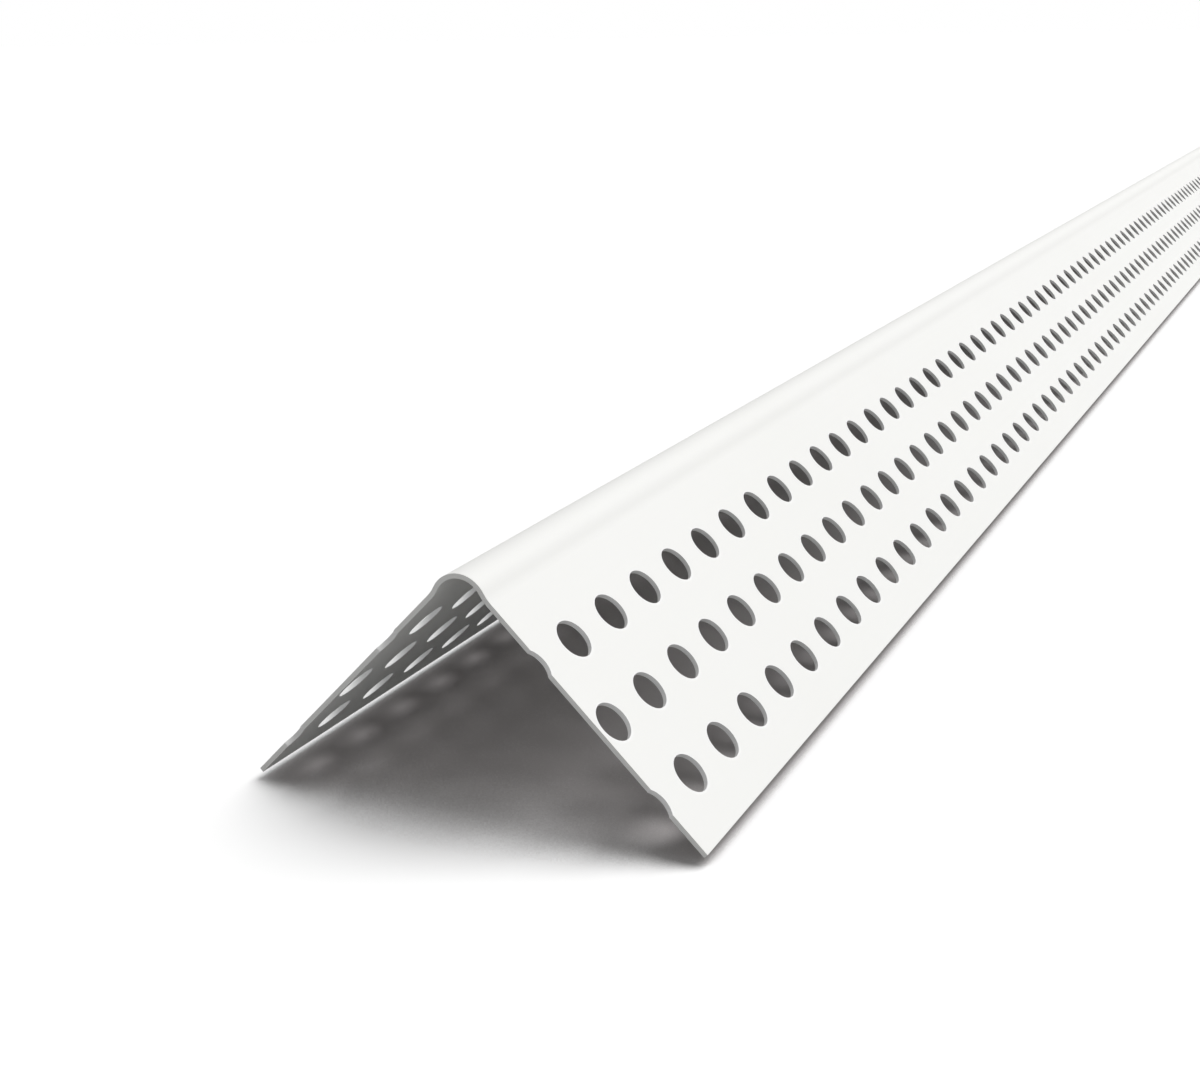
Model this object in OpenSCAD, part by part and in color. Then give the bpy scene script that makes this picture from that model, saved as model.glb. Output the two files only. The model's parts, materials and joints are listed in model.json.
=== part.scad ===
// Drywall corner bead: a thin white profile with a round nose between two punched legs,
// extruded in one piece and cut off square at both ends.
// It lies nose up on the free edges of its legs, with its length along Y.
// The origin is on the floor, under the middle of the nose.

/* [Stock] */
// Length that the bead is sold in
bead_length = 2400; // [300:50:3600]
// Thickness of the wall, the same all round the section
wall = 0.45; // [0.3:0.05:1.2]
// Angle between the two legs, in degrees
corner_angle = 90; // [80:1:120]
// Width of each leg, from the far side of the nose to the free edge
leg_w = 32; // [28:0.5:60]

/* [Nose] */
// Outer radius of the nose
nose_r = 2.75; // [2:0.05:4]
// How far the nose stands proud of the outer face of each leg
nose_proud = 0.28; // [0.1:0.01:0.6]
// Radius of the hollow curve that leads from the nose into each leg
hollow_r = 3.305; // [1.5:0.005:6]

/* [Holes] */
// Diameter of the punched holes
hole_d = 3.8; // [2:0.1:6]
// Distance between the holes of one row
hole_pitch = 7.4; // [6.6:0.1:20]
// Number of rows of holes on each leg
hole_rows = 3; // [1:1:3]
// Distance between neighbouring rows
row_gap = 7.62; // [6.6:0.01:9]
// Distance from the free edge of a leg to its outermost row
edge_gap = 5.7; // [4:0.1:7]
// Distance that the middle of a hole lies outside the first end, so that the cut leaves a notch
end_overrun = 1.33; // [0:0.01:3]

/* [Hidden] */
$fn = 48;

// Each leg has a frame of its own in the section: along the leg, and outwards from its face.
// The middle of the nose is at its origin.
half_angle = corner_angle / 2;
leg_turn = half_angle - 90;
face_n = nose_r - nose_proud;
leg_end = leg_w - nose_r;

// Middle of the hollow curve, which touches both the nose and the face of the leg
hollow_n = face_n + hollow_r;
leg_start = sqrt(pow(nose_r + hollow_r, 2) - pow(hollow_n, 2));

// Height of the middle of the nose, with the inner corners of both free edges on the floor
nose_z = leg_end * cos(half_angle) - (face_n - wall) * sin(half_angle);

// Reach of the cutting shapes past what they cut
over = 1;
reach = leg_w;

// Middles of the rows along the leg, and of the holes along the length from the first end.
// Every second row is moved on by half a pitch.
function row_s(row) = leg_end - edge_gap - row * row_gap;
function row_shift(row) = (row % 2) * hole_pitch / 2 - end_overrun;
function last_hole(row) = floor((bead_length + hole_d / 2 - row_shift(row)) / hole_pitch);

// A ring as thick as the wall, with its inner radius given
module ring(inner_r) {
    difference() {
        circle(r = inner_r + wall);
        circle(r = inner_r);
    }
}

// Half of the nose, from its crown to the line between the middles of nose and hollow
module nose_half() {
    crown = [-cos(half_angle), sin(half_angle)];
    intersection() {
        ring(nose_r - wall);
        polygon([[0, 0], [leg_start, hollow_n], [leg_start, hollow_n] + crown * reach, crown * reach]);
    }
}

// Hollow curve between the nose and the flat of the leg
module hollow_curve() {
    intersection() {
        translate([leg_start, hollow_n])
            ring(hollow_r);
        polygon([[0, 0], [leg_start, hollow_n], [leg_start, 0]]);
    }
}

// Flat of the leg, up to its free edge
module leg_flat() {
    translate([leg_start, face_n - wall])
        square([leg_end - leg_start, wall]);
}

// One half of the section, in the place of the right leg
module half_section() {
    rotate(leg_turn) {
        nose_half();
        hollow_curve();
        leg_flat();
    }
}

// The whole section, standing on the floor
module section() {
    translate([0, nose_z]) {
        half_section();
        mirror([1, 0])
            half_section();
    }
}

// The profile as extruded, before the holes are punched
module plain_profile() {
    translate([0, bead_length / 2, 0])
        rotate([90, 0, 0])
            linear_extrude(height = bead_length)
                section();
}

// Punches for the holes of the right leg
module leg_punches() {
    translate([0, -bead_length / 2, nose_z])
        rotate([0, -leg_turn, 0])
            for (row = [0 : hole_rows - 1], hole = [0 : last_hole(row)])
                translate([row_s(row), row_shift(row) + hole * hole_pitch, face_n - wall - over])
                    cylinder(d = hole_d, h = wall + 2 * over);
}

module corner_bead() {
    color("whitesmoke")
        difference() {
            plain_profile();
            leg_punches();
            mirror([1, 0, 0])
                leg_punches();
        }
}

corner_bead();
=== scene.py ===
"""Finishes a drywall corner bead in extruded white PVC and sets it on a white studio floor.

The bead is one piece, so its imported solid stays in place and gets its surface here.
Lengths are metres in the frame of that solid: it lies along Y, with its free edges at Z 0.
"""

import json
import math

import bpy
from bpy.props import FloatProperty, FloatVectorProperty, PointerProperty
from mathutils import Matrix, Vector


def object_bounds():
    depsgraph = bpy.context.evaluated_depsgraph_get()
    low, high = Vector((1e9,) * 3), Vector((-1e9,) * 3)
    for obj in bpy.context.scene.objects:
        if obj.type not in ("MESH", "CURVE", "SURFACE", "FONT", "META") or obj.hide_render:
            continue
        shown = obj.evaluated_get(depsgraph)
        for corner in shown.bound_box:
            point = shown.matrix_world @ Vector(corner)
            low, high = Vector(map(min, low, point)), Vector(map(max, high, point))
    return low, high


bl_info = {
    "name": "Drywall Corner Bead",
    "version": (1, 0, 0),
    "blender": (4, 5, 0),
    "location": "View3D > Sidebar > Corner Bead",
    "description": "Finishes a punched PVC corner bead and sets it on a white studio floor",
    "category": "Object",
}

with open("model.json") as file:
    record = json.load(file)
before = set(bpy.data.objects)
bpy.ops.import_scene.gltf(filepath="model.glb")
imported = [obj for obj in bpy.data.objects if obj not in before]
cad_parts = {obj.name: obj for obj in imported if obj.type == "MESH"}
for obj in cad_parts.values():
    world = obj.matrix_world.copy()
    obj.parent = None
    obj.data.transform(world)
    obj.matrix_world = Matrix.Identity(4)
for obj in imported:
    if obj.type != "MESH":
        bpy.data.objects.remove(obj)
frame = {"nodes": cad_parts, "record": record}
CAD_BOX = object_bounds()

BEAD = "corner_bead"
MM = 0.001
NEAR_END = CAD_BOX[0].y

# A stated hole in the middle row of the right leg, which gives the place of the punched pattern
ROW_HOLE = next(m for m in frame["record"]["mounts"] if m["kind"] == "bore" and m["axis"][0] > 0)

# Refractive index of rigid PVC
PVC_IOR = 1.53

# Finer layers of each noise, how strongly each shows beside the one before, and the noise's usual range
NOISE_LAYERS = 3
NOISE_FINENESS = 0.6
NOISE_LOW = 0.3
NOISE_HIGH = 0.7

# Rays that feel for edges on the bead, and for open air above the floor
EDGE_SAMPLES = 6
AIR_SAMPLES = 8


def linear(srgb_hex):
    """Linear RGB of an sRGB colour that is written as six hex digits."""
    levels = [int(srgb_hex[i:i + 2], 16) / 255 for i in (0, 2, 4)]
    return [v / 12.92 if v <= 0.04045 else ((v + 0.055) / 1.055) ** 2.4 for v in levels]


def bare_nodes(owner):
    """Node tree of a new material or world, without the nodes that it came with."""
    owner.use_nodes = True
    owner.node_tree.nodes.clear()
    return owner.node_tree


def add(tree, kind, inputs=None, **settings):
    """Adds a node with its settings, and gives each named input a value or a link from another node."""
    node = tree.nodes.new(kind)
    for name, value in settings.items():
        setattr(node, name, value)
    for name, value in (inputs or {}).items():
        if isinstance(value, bpy.types.Node):
            value = value.outputs[0]
        if isinstance(value, bpy.types.NodeSocket):
            tree.links.new(value, node.inputs[name])
        else:
            node.inputs[name].default_value = value
    return node


class CornerBeadPunching(bpy.types.PropertyGroup):
    """The punched pattern, which the finish follows around each hole."""

    hole_radius: FloatProperty(
        name="Hole Radius", description="Radius of a punched hole",
        default=ROW_HOLE["dims"]["r_mm"] * MM, unit="LENGTH")
    pitch: FloatProperty(
        name="Pitch", description="Distance between the holes of one row",
        default=7.4 * MM, unit="LENGTH")
    row_gap: FloatProperty(
        name="Row Gap", description="Distance between neighbouring rows",
        default=7.62 * MM, unit="LENGTH")
    rim_width: FloatProperty(
        name="Rim Width", description="Width of the ring around a hole that the punch drew in",
        default=0.3 * MM, unit="LENGTH")
    rim_depth: FloatProperty(
        name="Rim Depth", description="How far the punch drew the rim of a hole in",
        default=0.02 * MM, unit="LENGTH")


class CornerBeadFinish(bpy.types.PropertyGroup):
    """Colour and surface of the extruded PVC."""

    face_colour: FloatVectorProperty(
        name="Face Colour", description="Colour of the PVC as it left the die",
        default=linear("EFEFED"), min=0, max=1, subtype="COLOR")
    cloud_colour: FloatVectorProperty(
        name="Cloud Colour", description="Colour of the faint cloudy patches in the PVC",
        default=linear("ECECE9"), min=0, max=1, subtype="COLOR")
    rim_colour: FloatVectorProperty(
        name="Rim Colour", description="Colour of the PVC where the punch stretched it",
        default=linear("F4F4F3"), min=0, max=1, subtype="COLOR")
    smooth: FloatProperty(
        name="Smooth", description="Roughness of the smoothest lines that the die left",
        default=0.5, min=0, max=1, subtype="FACTOR")
    dull: FloatProperty(
        name="Dull", description="Roughness of the dullest lines that the die left",
        default=0.64, min=0, max=1, subtype="FACTOR")
    cloud_size: FloatProperty(
        name="Cloud Size", description="Size of the cloudy patches",
        default=35 * MM, unit="LENGTH")
    line_gap: FloatProperty(
        name="Line Gap", description="Distance between the fine lines that the die left",
        default=0.55 * MM, unit="LENGTH")
    line_run: FloatProperty(
        name="Line Run", description="Length over which a die line fades",
        default=260 * MM, unit="LENGTH")
    line_depth: FloatProperty(
        name="Line Depth", description="Depth of the die lines",
        default=0.006 * MM, unit="LENGTH")
    edge_radius: FloatProperty(
        name="Edge Radius", description="Radius that softens the cut and punched edges",
        default=0.05 * MM, unit="LENGTH")


class CornerBeadStage(bpy.types.PropertyGroup):
    """Floor, light and camera."""

    floor_colour: FloatVectorProperty(
        name="Floor Colour", description="Colour of the floor as the camera sees it in the open",
        default=linear("FFFFFF"), min=0, max=1, subtype="COLOR")
    shade_colour: FloatVectorProperty(
        name="Shade Colour", description="Colour of the floor as the camera sees it close under the bead",
        default=linear("B4B0B0"), min=0, max=1, subtype="COLOR")
    bounce_colour: FloatVectorProperty(
        name="Bounce Colour", description="Colour of the light that the floor throws back at the bead",
        default=linear("969696"), min=0, max=1, subtype="COLOR")
    open_level: FloatProperty(
        name="Open Level", description="Lift of the open floor, so that it shows as plain white",
        default=1.13, min=0)
    shade_reach: FloatProperty(
        name="Shade Reach", description="How far above the floor a thing shades it",
        default=40 * MM, unit="LENGTH")
    shade_share: FloatProperty(
        name="Shade Share", description="Share of open air up to which the floor has its shade colour",
        default=0.44, min=0, max=1, subtype="FACTOR")
    open_share: FloatProperty(
        name="Open Share", description="Share of open air from which the floor has its open colour",
        default=0.79, min=0, max=1, subtype="FACTOR")
    floor_gap: FloatProperty(
        name="Floor Gap", description="Air under the free edges, because a long bead is never quite straight",
        default=0.85 * MM, unit="LENGTH")
    floor_width: FloatProperty(
        name="Floor Width", description="Width of the square floor",
        default=60, unit="LENGTH")
    right_light: FloatProperty(
        name="Right Light", description="Brightness of the white wall beside the right leg, where 1 is white",
        default=0.87, min=0)
    left_light: FloatProperty(
        name="Left Light", description="Brightness of the white wall beside the left leg, where 1 is white",
        default=0.8, min=0)
    back_light: FloatProperty(
        name="Back Light", description="Brightness of the white wall past the far end, where 1 is white",
        default=0.3, min=0)
    front_light: FloatProperty(
        name="Front Light", description="Brightness of the white wall before the near end, where 1 is white",
        default=0.47, min=0)
    lamp_light: FloatProperty(
        name="Lamp Light", description="Light of the lamp on what faces it, where 1 shows white as white",
        default=0.75, min=0)
    lamp_right: FloatProperty(
        name="Lamp Right", description="How far the lamp leans from overhead towards the right leg",
        default=math.radians(26), subtype="ANGLE")
    lamp_back: FloatProperty(
        name="Lamp Back", description="How far the lamp leans from overhead towards the far end",
        default=math.radians(18), subtype="ANGLE")
    lamp_spread: FloatProperty(
        name="Lamp Spread", description="Angle that the lamp takes up, as seen from the bead",
        default=math.radians(46), subtype="ANGLE")
    camera_place: FloatVectorProperty(
        name="Camera Place", description="Place of the camera from the point under the nose at the near end",
        default=(68.69 * MM, -111.2 * MM, 64.8 * MM), subtype="TRANSLATION")
    camera_heading: FloatProperty(
        name="Camera Heading", description="Turn of the camera to the left, from looking along the bead",
        default=math.radians(23.85), subtype="ANGLE")
    camera_pitch: FloatProperty(
        name="Camera Pitch", description="How far the camera looks down",
        default=math.radians(17.05), subtype="ANGLE")
    camera_roll: FloatProperty(
        name="Camera Roll", description="Turn of the camera about its own line of sight",
        default=math.radians(-0.88), subtype="ANGLE")
    lens: FloatProperty(
        name="Lens", description="Focal length of the camera",
        default=48.97, unit="CAMERA")
    shift: FloatProperty(
        name="Shift", description="Sideways shift of the picture, as a share of its width",
        default=-0.0587)


def rim_of_holes(tree, place_mm, punching):
    """A factor that is 1 at the edge of each hole and fades to 0 across its rim."""
    hole = Vector(ROW_HOLE["pos_m"]) / MM
    outwards = Vector(ROW_HOLE["axis"])
    down_leg = (outwards.z, 0, -outwards.x)
    radius = punching.hole_radius / MM
    rim_width = punching.rim_width / MM
    row_gap = punching.row_gap / MM
    pitch = punching.pitch / MM

    # How far down its leg a place lies from the middle row, and from the nearest of the three rows,
    # with the left leg read as the mirror image of the right one
    mirrored = add(tree, "ShaderNodeVectorMath", {0: place_mm}, operation="ABSOLUTE")
    from_hole = add(tree, "ShaderNodeVectorMath", {0: mirrored, 1: hole}, operation="SUBTRACT")
    dot = add(tree, "ShaderNodeVectorMath", {0: from_hole, 1: down_leg}, operation="DOT_PRODUCT")
    down = dot.outputs["Value"]
    rows_down = add(tree, "ShaderNodeMath", {0: down, 1: row_gap}, operation="DIVIDE")
    nearest = add(tree, "ShaderNodeMath", {0: rows_down}, operation="ROUND")
    row = add(tree, "ShaderNodeClamp", {"Value": nearest, "Min": -1, "Max": 1})
    off_row = add(tree, "ShaderNodeMath", {0: row, 1: -row_gap, 2: down}, operation="MULTIPLY_ADD")

    # How far along that row it lies from the nearest hole, with both outer rows moved on by half a pitch
    outer = add(tree, "ShaderNodeMath", {0: row}, operation="ABSOLUTE")
    first = add(tree, "ShaderNodeMath", {0: outer, 1: pitch / 2, 2: hole.y}, operation="MULTIPLY_ADD")
    length_place = add(tree, "ShaderNodeSeparateXYZ", {0: place_mm}).outputs["Y"]
    run = add(tree, "ShaderNodeMath", {0: length_place, 1: first}, operation="SUBTRACT")
    off_hole = add(tree, "ShaderNodeMath", {0: run, 1: pitch / 2, 2: -pitch / 2}, operation="WRAP")

    offset = add(tree, "ShaderNodeCombineXYZ", {"X": off_row, "Y": off_hole})
    distance = add(tree, "ShaderNodeVectorMath", {0: offset}, operation="LENGTH").outputs["Value"]
    fade = {"From Min": radius, "From Max": radius + rim_width, "To Min": 1, "To Max": 0}
    return add(tree, "ShaderNodeMapRange", {"Value": distance, **fade}, interpolation_type="SMOOTHSTEP")


def extruded_white_pvc(finish, punching):
    """Rigid white PVC, drawn through a die and then punched cold.

    The eye gets an even, satin white with a soft sheen along the nose. Close by there are faint
    lines along the length from the die, and a drawn-in, slightly paler ring around each hole.
    """
    material = bpy.data.materials.new("extruded_white_pvc")
    tree = bare_nodes(material)
    place = add(tree, "ShaderNodeTexCoord").outputs["Object"]
    place_mm = add(tree, "ShaderNodeVectorMath", {0: place, "Scale": 1 / MM}, operation="SCALE")
    rim = rim_of_holes(tree, place_mm, punching)

    # Lines along the length that the die left, drawn coarser than real ones so that they show,
    # and cloudy patches in the mix
    layers = {"Detail": NOISE_LAYERS, "Roughness": NOISE_FINENESS}
    line_scale = (MM / finish.line_gap, MM / finish.line_run, MM / finish.line_gap)
    line_place = add(tree, "ShaderNodeVectorMath", {0: place_mm, 1: line_scale}, operation="MULTIPLY")
    lines = add(tree, "ShaderNodeTexNoise", {"Vector": line_place, "Scale": 1, **layers})
    cloud_scale = MM / finish.cloud_size
    clouds = add(tree, "ShaderNodeTexNoise", {"Vector": place_mm, "Scale": cloud_scale, **layers})

    clouded = add(tree, "ShaderNodeMixRGB",
                  {"Fac": clouds, "Color1": (*finish.face_colour, 1), "Color2": (*finish.cloud_colour, 1)})
    colour = add(tree, "ShaderNodeMixRGB",
                 {"Fac": rim, "Color1": clouded, "Color2": (*finish.rim_colour, 1)})
    roughness = add(tree, "ShaderNodeMapRange",
                    {"Value": lines, "From Min": NOISE_LOW, "From Max": NOISE_HIGH,
                     "To Min": finish.smooth, "To Max": finish.dull})

    # Relief in millimetres, on top of the softened cut and punched edges
    drawn_in = add(tree, "ShaderNodeMath", {0: rim, 1: -punching.rim_depth / MM}, operation="MULTIPLY")
    relief = add(tree, "ShaderNodeMath", {0: lines, 1: finish.line_depth / MM, 2: drawn_in},
                 operation="MULTIPLY_ADD")
    soft_edges = add(tree, "ShaderNodeBevel", {"Radius": finish.edge_radius}, samples=EDGE_SAMPLES)
    bump = add(tree, "ShaderNodeBump",
               {"Strength": 1, "Distance": MM, "Height": relief, "Normal": soft_edges})

    surface = add(tree, "ShaderNodeBsdfPrincipled",
                  {"Base Color": colour, "Roughness": roughness, "Normal": bump,
                   "IOR": PVC_IOR, "Metallic": 0})
    add(tree, "ShaderNodeOutputMaterial", {"Surface": surface})
    return material


def seen_rays(tree):
    """A factor of 1 for the rays that show a thing to the eye: straight, reflected or through glass."""
    path = add(tree, "ShaderNodeLightPath")
    straight = add(tree, "ShaderNodeMath",
                   {0: path.outputs["Is Camera Ray"], 1: path.outputs["Is Glossy Ray"]}, operation="MAXIMUM")
    return add(tree, "ShaderNodeMath",
               {0: straight, 1: path.outputs["Is Transmission Ray"]}, operation="MAXIMUM")


def matt_white_floor(stage):
    """Matt white painted board.

    The eye gets plain white, with a soft grey where the bead shuts out the open air above it.
    The light that it throws back at the bead is dimmer than it looks.
    """
    material = bpy.data.materials.new("matt_white_painted_board")
    tree = bare_nodes(material)
    thrown = add(tree, "ShaderNodeBsdfDiffuse", {"Color": (*stage.bounce_colour, 1)})
    # Painted shade: the floor's colour turns from white to the shade colour where ambient occlusion finds the
    # bead close above it, on top of the shadow that the lamp and the walls cast
    air = add(tree, "ShaderNodeAmbientOcclusion", {"Distance": stage.shade_reach}, samples=AIR_SAMPLES)
    openness = add(tree, "ShaderNodeMapRange",
                   {"Value": air.outputs["AO"], "From Min": stage.shade_share, "From Max": stage.open_share},
                   interpolation_type="SMOOTHSTEP")
    open_white = Vector(stage.floor_colour) * stage.open_level
    colour = add(tree, "ShaderNodeMixRGB",
                 {"Fac": openness, "Color1": (*stage.shade_colour, 1), "Color2": (*open_white, 1)})
    shown = add(tree, "ShaderNodeBsdfDiffuse", {"Color": colour})
    surface = add(tree, "ShaderNodeMixShader", {0: seen_rays(tree), 1: thrown, 2: shown})
    add(tree, "ShaderNodeOutputMaterial", {"Surface": surface})
    return material


def white_surround(stage):
    """World that looks white, and lights the bead as four white walls of different brightness would."""
    world = bpy.data.worlds.new("white_surround")
    tree = bare_nodes(world)
    direction = add(tree, "ShaderNodeTexCoord").outputs["Generated"]
    axes = add(tree, "ShaderNodeSeparateXYZ", {0: direction})
    walls = {"X": (stage.left_light, stage.right_light), "Y": (stage.front_light, stage.back_light)}
    lights = []
    for axis, (low_side, high_side) in walls.items():
        way = axes.outputs[axis]
        side = add(tree, "ShaderNodeMath", {0: way, 1: 0}, operation="GREATER_THAN")
        level = add(tree, "ShaderNodeMix", {"Factor": side, "A": low_side, "B": high_side})
        facing = add(tree, "ShaderNodeMath", {0: way, 1: way}, operation="MULTIPLY")
        lights.append(add(tree, "ShaderNodeMath", {0: facing, 1: level}, operation="MULTIPLY"))
    light = add(tree, "ShaderNodeMath", {0: lights[0], 1: lights[1]}, operation="ADD")
    strength = add(tree, "ShaderNodeMix", {"Factor": seen_rays(tree), "A": light, "B": 1})
    background = add(tree, "ShaderNodeBackground", {"Color": (1, 1, 1, 1), "Strength": strength})
    add(tree, "ShaderNodeOutputWorld", {"Surface": background})
    return world


class CORNERBEAD_OT_finish_bead(bpy.types.Operator):
    """Gives the bead its extruded white PVC"""

    bl_idname = "corner_bead.finish_bead"
    bl_label = "Finish Bead"

    def execute(self, context):
        scene = context.scene
        bead = frame["nodes"][BEAD]
        bead.data.materials.clear()
        bead.data.materials.append(extruded_white_pvc(scene.corner_bead_finish, scene.corner_bead_punching))
        return {"FINISHED"}


class CORNERBEAD_OT_set_stage(bpy.types.Operator):
    """Sets the floor, the light and the camera around the bead"""

    bl_idname = "corner_bead.set_stage"
    bl_label = "Set Stage"

    def execute(self, context):
        scene = context.scene
        stage = scene.corner_bead_stage
        self.lay_floor(scene, stage)
        self.hang_lamp(scene, stage)
        self.place_camera(scene, stage)
        scene.world = white_surround(stage)
        scene.view_settings.view_transform = "Standard"
        return {"FINISHED"}

    def lay_floor(self, scene, stage):
        """A square floor under the bead"""
        reach = stage.floor_width / 2
        corners = [(x * reach, y * reach, -stage.floor_gap) for x, y in ((-1, -1), (1, -1), (1, 1), (-1, 1))]
        mesh = bpy.data.meshes.new("floor")
        mesh.from_pydata(corners, [], [range(len(corners))])
        mesh.materials.append(matt_white_floor(stage))
        floor = bpy.data.objects.new("floor", mesh)
        scene.collection.objects.link(floor)

    def hang_lamp(self, scene, stage):
        """One wide, soft lamp, which lights the whole length evenly"""
        light = bpy.data.lights.new("overhead_softbox", "SUN")
        # A sun of strength pi shows a white face that is turned to it as white
        light.energy = stage.lamp_light * math.pi
        light.angle = stage.lamp_spread
        lamp = bpy.data.objects.new("overhead_softbox", light)
        towards = Vector((math.tan(stage.lamp_right), math.tan(stage.lamp_back), 1))
        lamp.rotation_mode = "QUATERNION"
        lamp.rotation_quaternion = towards.to_track_quat("Z", "Y")
        scene.collection.objects.link(lamp)

    def place_camera(self, scene, stage):
        """The camera, before the near end and looking along the right leg"""
        lens = bpy.data.cameras.new("camera")
        lens.lens = stage.lens
        lens.shift_x = stage.shift
        lens.clip_start = MM
        camera = bpy.data.objects.new("camera", lens)
        turn = (Matrix.Rotation(stage.camera_heading, 4, "Z")
                @ Matrix.Rotation(math.pi / 2 - stage.camera_pitch, 4, "X")
                @ Matrix.Rotation(stage.camera_roll, 4, "Z"))
        place = Vector((0, NEAR_END, 0)) + Vector(stage.camera_place)
        camera.matrix_world = Matrix.Translation(place) @ turn
        scene.collection.objects.link(camera)
        scene.camera = camera


class CORNERBEAD_PT_bead(bpy.types.Panel):
    """Lists the steps that finish the bead, each with its settings"""

    bl_idname = "CORNERBEAD_PT_bead"
    bl_label = "Corner Bead"
    bl_space_type = "VIEW_3D"
    bl_region_type = "UI"
    bl_category = "Corner Bead"

    def draw(self, context):
        for step, groups in STEPS.items():
            box = self.layout.box()
            box.operator(step.bl_idname)
            for group in groups:
                settings = getattr(context.scene, group)
                for name in GROUPS[group].__annotations__:
                    box.prop(settings, name)


GROUPS = {
    "corner_bead_punching": CornerBeadPunching,
    "corner_bead_finish": CornerBeadFinish,
    "corner_bead_stage": CornerBeadStage,
}

# Each step with the groups of settings that it reads
STEPS = {
    CORNERBEAD_OT_finish_bead: ["corner_bead_finish", "corner_bead_punching"],
    CORNERBEAD_OT_set_stage: ["corner_bead_stage"],
}
CLASSES = [*GROUPS.values(), *STEPS, CORNERBEAD_PT_bead]


def register():
    for cls in CLASSES:
        bpy.utils.register_class(cls)
    for name, group in GROUPS.items():
        setattr(bpy.types.Scene, name, PointerProperty(type=group))


def unregister():
    for name in GROUPS:
        delattr(bpy.types.Scene, name)
    for cls in reversed(CLASSES):
        bpy.utils.unregister_class(cls)


def main():
    """Runs the steps in order"""
    register()
    bpy.ops.corner_bead.finish_bead()
    bpy.ops.corner_bead.set_stage()


if __name__ == "__main__":
    main()
